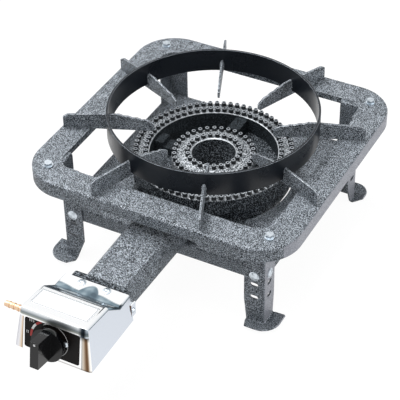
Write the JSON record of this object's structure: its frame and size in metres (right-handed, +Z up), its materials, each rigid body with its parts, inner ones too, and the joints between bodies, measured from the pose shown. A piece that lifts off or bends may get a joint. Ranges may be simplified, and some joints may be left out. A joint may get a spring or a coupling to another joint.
{
  "type": "propane burner stand",
  "caption": "Square low stand with a cast two-ring gas burner, a finned pot ring on top, and a valve box with a knob and hose barb at the end of the mixing duct.",
  "frame": {"origin": "on the floor under the burner's axis, in the plane of the four feet", "axes": "+Z up, -Y towards the knob along the mixing duct, +X to the right seen from the knob"},
  "size_m": [0.4, 0.6683, 0.2116],
  "materials": {
    "silver_vein_paint": "silver-vein hammertone powder paint",
    "port_iron": "bare dark casting with worn bright nipple rims",
    "ring_black": "semi-gloss black enamel",
    "bright_cover": "polished bright sheet",
    "panel_black": "smooth black",
    "zinc_sheet": "zinc-plated sheet",
    "brass": "machined brass",
    "steel": "plain steel",
    "knob_black": "glossy moulded plastic",
    "pointer_white": "white inlay",
    "zinc_fastener": "zinc-plated"
  },
  "bodies": {
    "stand": {"top_frame": "silver_vein_paint", "leg_rear_right": "silver_vein_paint", "leg_rear_left": "silver_vein_paint", "leg_front_left": "silver_vein_paint", "leg_front_right": "silver_vein_paint", "lower_tray": "silver_vein_paint", "burner_strap_front": "silver_vein_paint", "burner_strap_rear": "silver_vein_paint", "burner_body": "silver_vein_paint", "outer_port_ring": "port_iron", "inner_port_ring": "port_iron", "valve_cover": "bright_cover", "control_panel": "panel_black", "valve_bracket": "zinc_sheet", "valve_body": "brass", "valve_bonnet": "brass", "gas_jet": "brass", "hose_barb": "brass", "stem_spring": "steel", "corner_bolts": "zinc_fastener", "corner_nuts": "zinc_fastener", "leg_screws": "zinc_fastener", "leg_nuts": "zinc_fastener", "burner_screws": "zinc_fastener", "panel_screws": "zinc_fastener", "cover_top_screws": "zinc_fastener", "cover_side_screws": "zinc_fastener", "bracket_screws": "zinc_fastener"},
    "pot_support": {"pot_ring": "ring_black", "pot_fin_1": "silver_vein_paint", "pot_fin_2": "silver_vein_paint", "pot_fin_3": "silver_vein_paint", "pot_fin_4": "silver_vein_paint", "pot_fin_5": "silver_vein_paint", "pot_fin_6": "silver_vein_paint", "pot_fin_7": "silver_vein_paint", "pot_fin_8": "silver_vein_paint"},
    "spring_carrier": {"spring_seat": "steel"},
    "knob_and_stem": {"knob": "knob_black", "knob_pointer": "pointer_white", "valve_stem": "steel"},
    "plug": {"valve_plug": "brass"}
  },
  "joints": [
    {"name": "pot_support_lift", "type": "slide", "parent": "stand", "child": "pot_support", "axis": [0, 0, 1], "range_m": [0, 0.05]},
    {"name": "knob_push", "type": "slide", "parent": "stand", "child": "spring_carrier", "axis": [0, 0.9848, -0.1736], "range_m": [0, 0.003], "stiffness_N_per_m": 1500, "springref_m": -0.001, "deforming": ["stem_spring"]},
    {"name": "knob_turn", "type": "hinge", "parent": "spring_carrier", "child": "knob_and_stem", "pos_m": [0, -0.4257, 0.136], "axis": [0, -0.9848, 0.1736], "range_deg": [0, 90]},
    {"name": "plug_turn", "type": "hinge", "parent": "stand", "child": "plug", "pos_m": [0, -0.4257, 0.136], "axis": [0, -0.9848, 0.1736], "range_deg": [0, 90]}
  ],
  "couplings": [
    {"joint": "plug_turn", "follows": "knob_turn", "ratio": 1}
  ]
}
